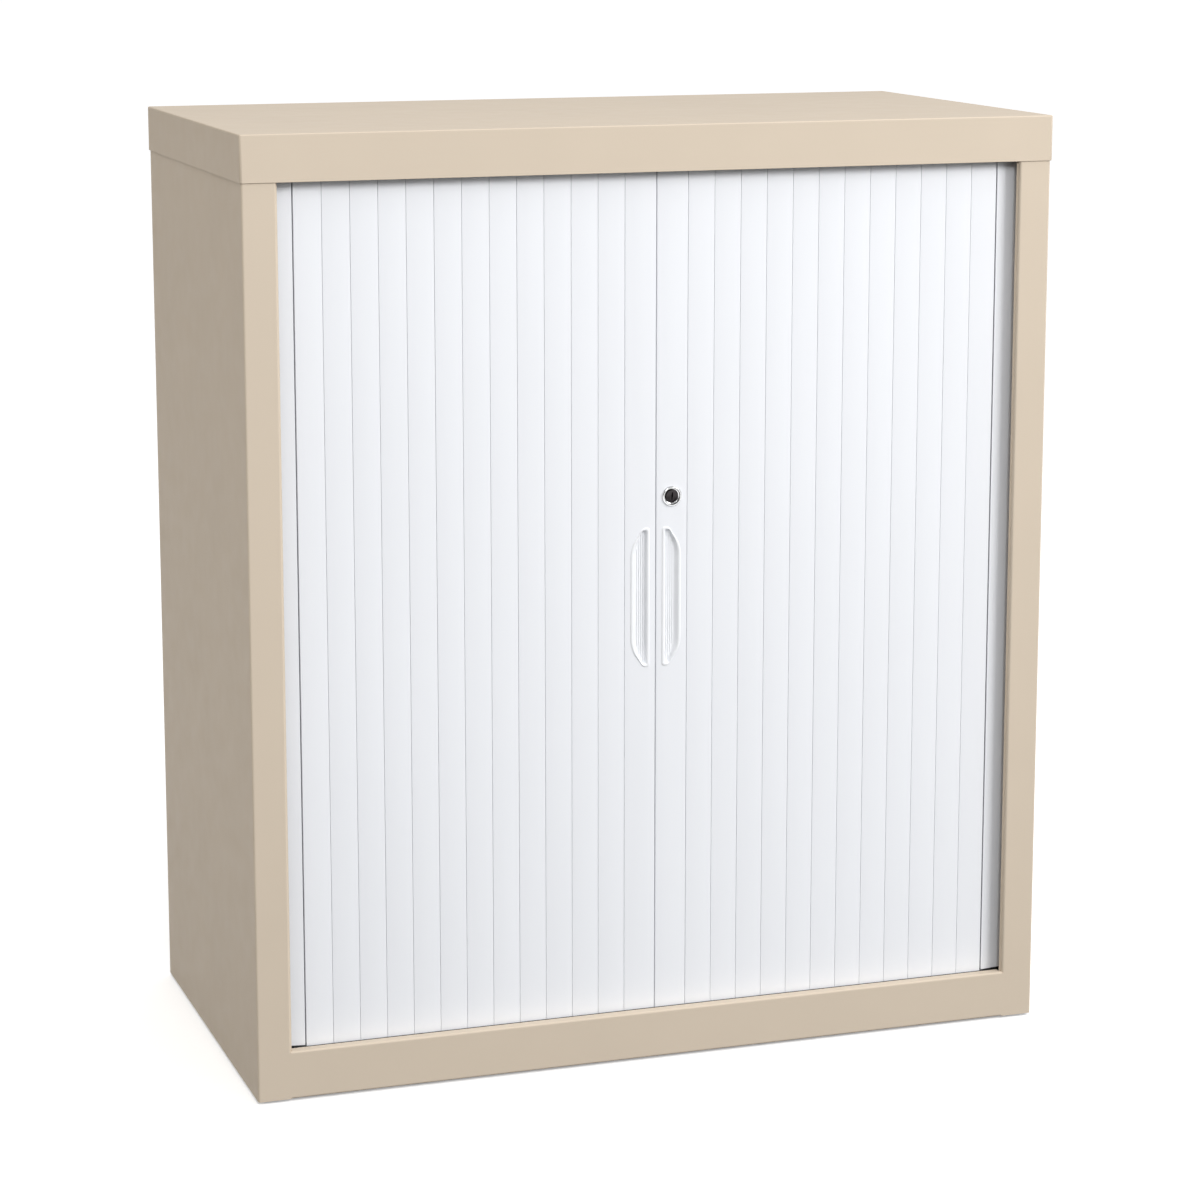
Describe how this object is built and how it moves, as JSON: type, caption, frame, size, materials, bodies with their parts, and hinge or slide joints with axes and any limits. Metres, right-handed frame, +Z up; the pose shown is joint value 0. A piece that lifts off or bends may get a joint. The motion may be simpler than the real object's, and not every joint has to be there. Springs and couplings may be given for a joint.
{
  "type": "tambour storage cupboard",
  "caption": "Two-door tambour cupboard: folded steel carcass and cap lid, white upright slat curtains with moulded pulls, cylinder lock, shelves inside",
  "frame": {"origin": "on the floor, under the middle of the cupboard", "axes": "+X to the right seen from the front, +Y to the back, +Z up; the curtains face -Y"},
  "size_m": [0.9, 0.463, 1.02],
  "materials": {
    "carcass": "fine powder coat, satin sand",
    "slat": "satin extruded plastic, white",
    "handle": "moulded satin white",
    "glide": "nylon, natural",
    "track": "black extruded plastic",
    "foot": "black moulded foot on a steel screw",
    "zinc": "zinc plated",
    "lock_chrome": "polished chrome",
    "lock_plug": "dark nickel plated plug"
  },
  "bodies": {
    "root": {"lid": "carcass", "left_side_panel": "carcass", "right_side_panel": "carcass", "back_panel": "carcass", "back_rivets": "zinc", "bottom_front_rail": "carcass", "floor_pan": "carcass", "top_tray": "carcass", "left_liner": "carcass", "right_liner": "carcass", "lower_shelf": "carcass", "upper_shelf": "carcass", "shelf_clips": "zinc", "foot_brackets": "zinc", "top_track": "track", "bottom_track": "track", "left_corner_slats": "slat", "right_corner_slats": "slat"},
    "left_door": {"left_leading_slat": "slat", "left_handle": "handle", "left_glides": "glide", "lock_strike": "zinc"},
    "left_slat_01": {"left_slat_01": "slat"},
    "left_slat_02": {"left_slat_02": "slat"},
    "left_slat_03": {"left_slat_03": "slat"},
    "left_slat_04": {"left_slat_04": "slat"},
    "left_slat_05": {"left_slat_05": "slat"},
    "left_slat_06": {"left_slat_06": "slat"},
    "left_slat_07": {"left_slat_07": "slat"},
    "left_slat_08": {"left_slat_08": "slat"},
    "left_slat_09": {"left_slat_09": "slat"},
    "left_slat_10": {"left_slat_10": "slat"},
    "left_slat_11": {"left_slat_11": "slat"},
    "left_slat_12": {"left_slat_12": "slat"},
    "left_end_strip": {"left_end_strip": "slat"},
    "right_door": {"right_leading_slat": "slat", "right_handle": "handle", "right_glides": "glide", "lock_body": "lock_chrome", "lock_nut": "zinc"},
    "right_slat_01": {"right_slat_01": "slat"},
    "right_slat_02": {"right_slat_02": "slat"},
    "right_slat_03": {"right_slat_03": "slat"},
    "right_slat_04": {"right_slat_04": "slat"},
    "right_slat_05": {"right_slat_05": "slat"},
    "right_slat_06": {"right_slat_06": "slat"},
    "right_slat_07": {"right_slat_07": "slat"},
    "right_slat_08": {"right_slat_08": "slat"},
    "right_slat_09": {"right_slat_09": "slat"},
    "right_slat_10": {"right_slat_10": "slat"},
    "right_slat_11": {"right_slat_11": "slat"},
    "right_slat_12": {"right_slat_12": "slat"},
    "right_end_strip": {"right_end_strip": "slat"},
    "lock_barrel_plug": {"lock_plug": "lock_plug", "lock_cam": "zinc"},
    "front_left_foot": {"front_left_foot": "foot"},
    "front_right_foot": {"front_right_foot": "foot"},
    "rear_left_foot": {"rear_left_foot": "foot"},
    "rear_right_foot": {"rear_right_foot": "foot"}
  },
  "joints": [
    {"name": "left_door_slide", "type": "slide", "parent": "root", "child": "left_door", "axis": [-1, 0, 0], "range_m": [0, 0.3465], "deforming": ["left_slat_01", "left_slat_02", "left_slat_03", "left_slat_04", "left_slat_05", "left_slat_06", "left_slat_07", "left_slat_08", "left_slat_09", "left_slat_10", "left_slat_11", "left_slat_12"]},
    {"name": "left_slat_01_slide", "type": "slide", "parent": "root", "child": "left_slat_01", "axis": [-1, 0, 0], "range_m": [0, 0.351]},
    {"name": "left_slat_02_slide", "type": "slide", "parent": "root", "child": "left_slat_02", "axis": [-1, 0, 0], "range_m": [0, 0.3213]},
    {"name": "left_slat_03_slide", "type": "slide", "parent": "root", "child": "left_slat_03", "axis": [-1, 0, 0], "range_m": [0, 0.2916]},
    {"name": "left_slat_04_slide", "type": "slide", "parent": "root", "child": "left_slat_04", "axis": [-1, 0, 0], "range_m": [0, 0.2619]},
    {"name": "left_slat_05_slide", "type": "slide", "parent": "root", "child": "left_slat_05", "axis": [-1, 0, 0], "range_m": [0, 0.2322]},
    {"name": "left_slat_06_slide", "type": "slide", "parent": "root", "child": "left_slat_06", "axis": [-1, 0, 0], "range_m": [0, 0.2025]},
    {"name": "left_slat_07_slide", "type": "slide", "parent": "root", "child": "left_slat_07", "axis": [-1, 0, 0], "range_m": [0, 0.1728]},
    {"name": "left_slat_08_slide", "type": "slide", "parent": "root", "child": "left_slat_08", "axis": [-1, 0, 0], "range_m": [0, 0.1431]},
    {"name": "left_slat_09_slide", "type": "slide", "parent": "root", "child": "left_slat_09", "axis": [-1, 0, 0], "range_m": [0, 0.1134]},
    {"name": "left_slat_10_slide", "type": "slide", "parent": "root", "child": "left_slat_10", "axis": [-1, 0, 0], "range_m": [0, 0.0837]},
    {"name": "left_slat_11_slide", "type": "slide", "parent": "root", "child": "left_slat_11", "axis": [-1, 0, 0], "range_m": [0, 0.054]},
    {"name": "left_slat_12_slide", "type": "slide", "parent": "root", "child": "left_slat_12", "axis": [-1, 0, 0], "range_m": [0, 0.0243]},
    {"name": "left_end_strip_slide", "type": "slide", "parent": "root", "child": "left_end_strip", "axis": [0, 1, 0], "range_m": [0, 0.3505]},
    {"name": "right_door_slide", "type": "slide", "parent": "root", "child": "right_door", "axis": [1, 0, 0], "range_m": [0, 0.3465], "deforming": ["right_slat_01", "right_slat_02", "right_slat_03", "right_slat_04", "right_slat_05", "right_slat_06", "right_slat_07", "right_slat_08", "right_slat_09", "right_slat_10", "right_slat_11", "right_slat_12"]},
    {"name": "right_slat_01_slide", "type": "slide", "parent": "root", "child": "right_slat_01", "axis": [1, 0, 0], "range_m": [0, 0.351]},
    {"name": "right_slat_02_slide", "type": "slide", "parent": "root", "child": "right_slat_02", "axis": [1, 0, 0], "range_m": [0, 0.3213]},
    {"name": "right_slat_03_slide", "type": "slide", "parent": "root", "child": "right_slat_03", "axis": [1, 0, 0], "range_m": [0, 0.2916]},
    {"name": "right_slat_04_slide", "type": "slide", "parent": "root", "child": "right_slat_04", "axis": [1, 0, 0], "range_m": [0, 0.2619]},
    {"name": "right_slat_05_slide", "type": "slide", "parent": "root", "child": "right_slat_05", "axis": [1, 0, 0], "range_m": [0, 0.2322]},
    {"name": "right_slat_06_slide", "type": "slide", "parent": "root", "child": "right_slat_06", "axis": [1, 0, 0], "range_m": [0, 0.2025]},
    {"name": "right_slat_07_slide", "type": "slide", "parent": "root", "child": "right_slat_07", "axis": [1, 0, 0], "range_m": [0, 0.1728]},
    {"name": "right_slat_08_slide", "type": "slide", "parent": "root", "child": "right_slat_08", "axis": [1, 0, 0], "range_m": [0, 0.1431]},
    {"name": "right_slat_09_slide", "type": "slide", "parent": "root", "child": "right_slat_09", "axis": [1, 0, 0], "range_m": [0, 0.1134]},
    {"name": "right_slat_10_slide", "type": "slide", "parent": "root", "child": "right_slat_10", "axis": [1, 0, 0], "range_m": [0, 0.0837]},
    {"name": "right_slat_11_slide", "type": "slide", "parent": "root", "child": "right_slat_11", "axis": [1, 0, 0], "range_m": [0, 0.054]},
    {"name": "right_slat_12_slide", "type": "slide", "parent": "root", "child": "right_slat_12", "axis": [1, 0, 0], "range_m": [0, 0.0243]},
    {"name": "right_end_strip_slide", "type": "slide", "parent": "root", "child": "right_end_strip", "axis": [0, 1, 0], "range_m": [0, 0.3505]},
    {"name": "lock_turn", "type": "hinge", "parent": "right_door", "child": "lock_barrel_plug", "pos_m": [0.018, -0.2, 0.623], "axis": [0, 1, 0], "range_deg": [0, 90]},
    {"name": "front_left_foot_screw", "type": "slide", "parent": "root", "child": "front_left_foot", "axis": [0, 0, -1], "range_m": [0, 0.012]},
    {"name": "front_right_foot_screw", "type": "slide", "parent": "root", "child": "front_right_foot", "axis": [0, 0, -1], "range_m": [0, 0.012]},
    {"name": "rear_left_foot_screw", "type": "slide", "parent": "root", "child": "rear_left_foot", "axis": [0, 0, -1], "range_m": [0, 0.012]},
    {"name": "rear_right_foot_screw", "type": "slide", "parent": "root", "child": "rear_right_foot", "axis": [0, 0, -1], "range_m": [0, 0.012]}
  ],
  "couplings": [
    {"joint": "left_slat_01_slide", "follows": "left_door_slide", "ratio": 1.0014},
    {"joint": "left_slat_02_slide", "follows": "left_door_slide", "ratio": 0.91573},
    {"joint": "left_slat_03_slide", "follows": "left_door_slide", "ratio": 0.83001},
    {"joint": "left_slat_04_slide", "follows": "left_door_slide", "ratio": 0.7443},
    {"joint": "left_slat_05_slide", "follows": "left_door_slide", "ratio": 0.65859},
    {"joint": "left_slat_06_slide", "follows": "left_door_slide", "ratio": 0.57287},
    {"joint": "left_slat_07_slide", "follows": "left_door_slide", "ratio": 0.48716},
    {"joint": "left_slat_08_slide", "follows": "left_door_slide", "ratio": 0.40144},
    {"joint": "left_slat_09_slide", "follows": "left_door_slide", "ratio": 0.31573},
    {"joint": "left_slat_10_slide", "follows": "left_door_slide", "ratio": 0.23001},
    {"joint": "left_slat_11_slide", "follows": "left_door_slide", "ratio": 0.1443},
    {"joint": "left_slat_12_slide", "follows": "left_door_slide", "ratio": 0.05859},
    {"joint": "left_end_strip_slide", "follows": "left_door_slide", "ratio": 1},
    {"joint": "right_slat_01_slide", "follows": "right_door_slide", "ratio": 1.0014},
    {"joint": "right_slat_02_slide", "follows": "right_door_slide", "ratio": 0.91573},
    {"joint": "right_slat_03_slide", "follows": "right_door_slide", "ratio": 0.83001},
    {"joint": "right_slat_04_slide", "follows": "right_door_slide", "ratio": 0.7443},
    {"joint": "right_slat_05_slide", "follows": "right_door_slide", "ratio": 0.65859},
    {"joint": "right_slat_06_slide", "follows": "right_door_slide", "ratio": 0.57287},
    {"joint": "right_slat_07_slide", "follows": "right_door_slide", "ratio": 0.48716},
    {"joint": "right_slat_08_slide", "follows": "right_door_slide", "ratio": 0.40144},
    {"joint": "right_slat_09_slide", "follows": "right_door_slide", "ratio": 0.31573},
    {"joint": "right_slat_10_slide", "follows": "right_door_slide", "ratio": 0.23001},
    {"joint": "right_slat_11_slide", "follows": "right_door_slide", "ratio": 0.1443},
    {"joint": "right_slat_12_slide", "follows": "right_door_slide", "ratio": 0.05859},
    {"joint": "right_end_strip_slide", "follows": "right_door_slide", "ratio": 1}
  ]
}
